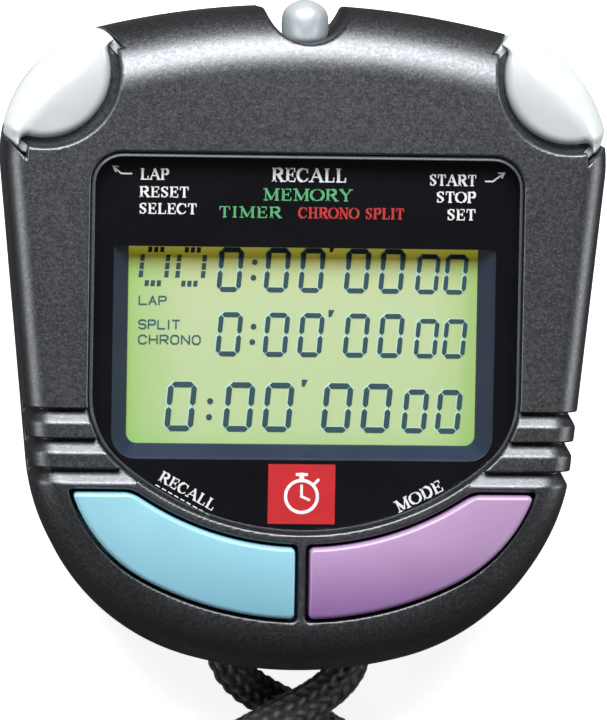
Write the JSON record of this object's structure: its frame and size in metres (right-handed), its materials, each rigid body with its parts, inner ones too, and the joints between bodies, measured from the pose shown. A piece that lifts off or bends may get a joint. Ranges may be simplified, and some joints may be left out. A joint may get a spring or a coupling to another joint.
{
  "type": "digital stopwatch",
  "caption": "Hand-held digital stopwatch with a liquid crystal display, side-mounted push buttons, face keys, a battery hatch and a braided neck lanyard.",
  "frame": {"origin": "middle of the case's rest face: under the centre of the case's bounding box, on the plane that the rear cover lies on (the lanyard isn't counted)", "axes": "+Z out of the display, +Y towards the crown button at the top edge, +X towards the start/stop button at the upper right corner"},
  "size_m": [0.0658, 0.1461, 0.0199],
  "materials": {
    "case_front": "graphite paint with a fine metallic speckle, satin",
    "case_rear": "fine matt texture",
    "black_rubber": "matt",
    "grey_rubber": "matt silicone",
    "steel": "bright zinc-plated",
    "spring_steel": "drawn wire",
    "lens": "polished clear plastic",
    "mask": "black print",
    "bezel": "dark blue moulding",
    "lcd": "liquid crystal glass",
    "reflector": "yellow-green diffusing foil",
    "zebra": "layered conductive rubber",
    "white_plastic": "satin moulding",
    "board": "green solder mask",
    "chip": "black epoxy",
    "cell": "stamped nickel-plated can",
    "brass": "spring strip",
    "silver": "pearl silver paint",
    "crown_silver": "blue-tinted silver paint",
    "cyan": "pale cyan, satin",
    "purple": "purple, satin",
    "cord": "woven braid"
  },
  "bodies": {
    "case": {"front_case": "case_front", "rear_case": "case_rear", "case_gasket": "black_rubber", "case_screws": "steel", "window_lens": "lens", "window_mask": "mask", "lcd_bezel": "bezel", "lcd_front_glass": "lcd", "lcd_rear_glass": "lcd", "lcd_reflector": "reflector", "lcd_connectors": "zebra", "module_frame": "white_plastic", "main_board": "board", "chip_cover": "chip", "quartz_can": "cell", "board_parts": "white_plastic", "board_screws": "steel", "coin_cell": "cell", "cell_holder": "white_plastic", "cell_plus_clip": "brass", "cell_minus_spring": "brass", "buzzer_disc": "brass", "buzzer_spring": "spring_steel", "start_spring": "spring_steel", "start_seal": "black_rubber", "start_contact": "brass", "lap_spring": "spring_steel", "lap_seal": "black_rubber", "lap_contact": "brass", "crown_spring": "spring_steel", "crown_seal": "black_rubber", "crown_contact": "brass", "recall_dome": "grey_rubber", "mode_dome": "grey_rubber", "keypad_sheet": "grey_rubber", "lanyard_inner": "cord", "lanyard_left": "cord", "lanyard_right": "cord", "lanyard_coil": "cord", "lanyard_ferrule": "steel", "lanyard_tie": "black_rubber"},
    "start_button": {"start_button": "silver", "start_stem": "steel", "start_clip": "spring_steel"},
    "lap_button": {"lap_button": "silver", "lap_stem": "steel", "lap_clip": "spring_steel"},
    "crown_button": {"crown_button": "crown_silver", "crown_stem": "steel", "crown_clip": "spring_steel"},
    "recall_key": {"recall_key": "cyan"},
    "mode_key": {"mode_key": "purple"},
    "battery_hatch": {"battery_hatch": "case_rear", "hatch_seal": "black_rubber"}
  },
  "joints": [
    {"name": "start_press", "type": "slide", "parent": "case", "child": "start_button", "axis": [-0.7071, -0.7071, 0], "range_m": [0, 0.0007], "stiffness_N_per_m": 500, "springref_m": -0.0015, "deforming": ["start_spring"]},
    {"name": "lap_press", "type": "slide", "parent": "case", "child": "lap_button", "axis": [0.7071, -0.7071, 0], "range_m": [0, 0.0007], "stiffness_N_per_m": 500, "springref_m": -0.0015, "deforming": ["lap_spring"]},
    {"name": "crown_press", "type": "slide", "parent": "case", "child": "crown_button", "axis": [0, -1, 0], "range_m": [0, 0.0007], "stiffness_N_per_m": 500, "springref_m": -0.0015, "deforming": ["crown_spring"]},
    {"name": "recall_key_press", "type": "slide", "parent": "case", "child": "recall_key", "axis": [0, 0, -1], "range_m": [0, 0.0008], "stiffness_N_per_m": 500, "springref_m": -0.0015, "deforming": ["recall_dome"]},
    {"name": "mode_key_press", "type": "slide", "parent": "case", "child": "mode_key", "axis": [0, 0, -1], "range_m": [0, 0.0008], "stiffness_N_per_m": 500, "springref_m": -0.0015, "deforming": ["mode_dome"]},
    {"name": "battery_hatch_turn", "type": "hinge", "parent": "case", "child": "battery_hatch", "pos_m": [0, 0.003, 0], "axis": [0, 0, 1], "range_deg": [0, 50]}
  ]
}
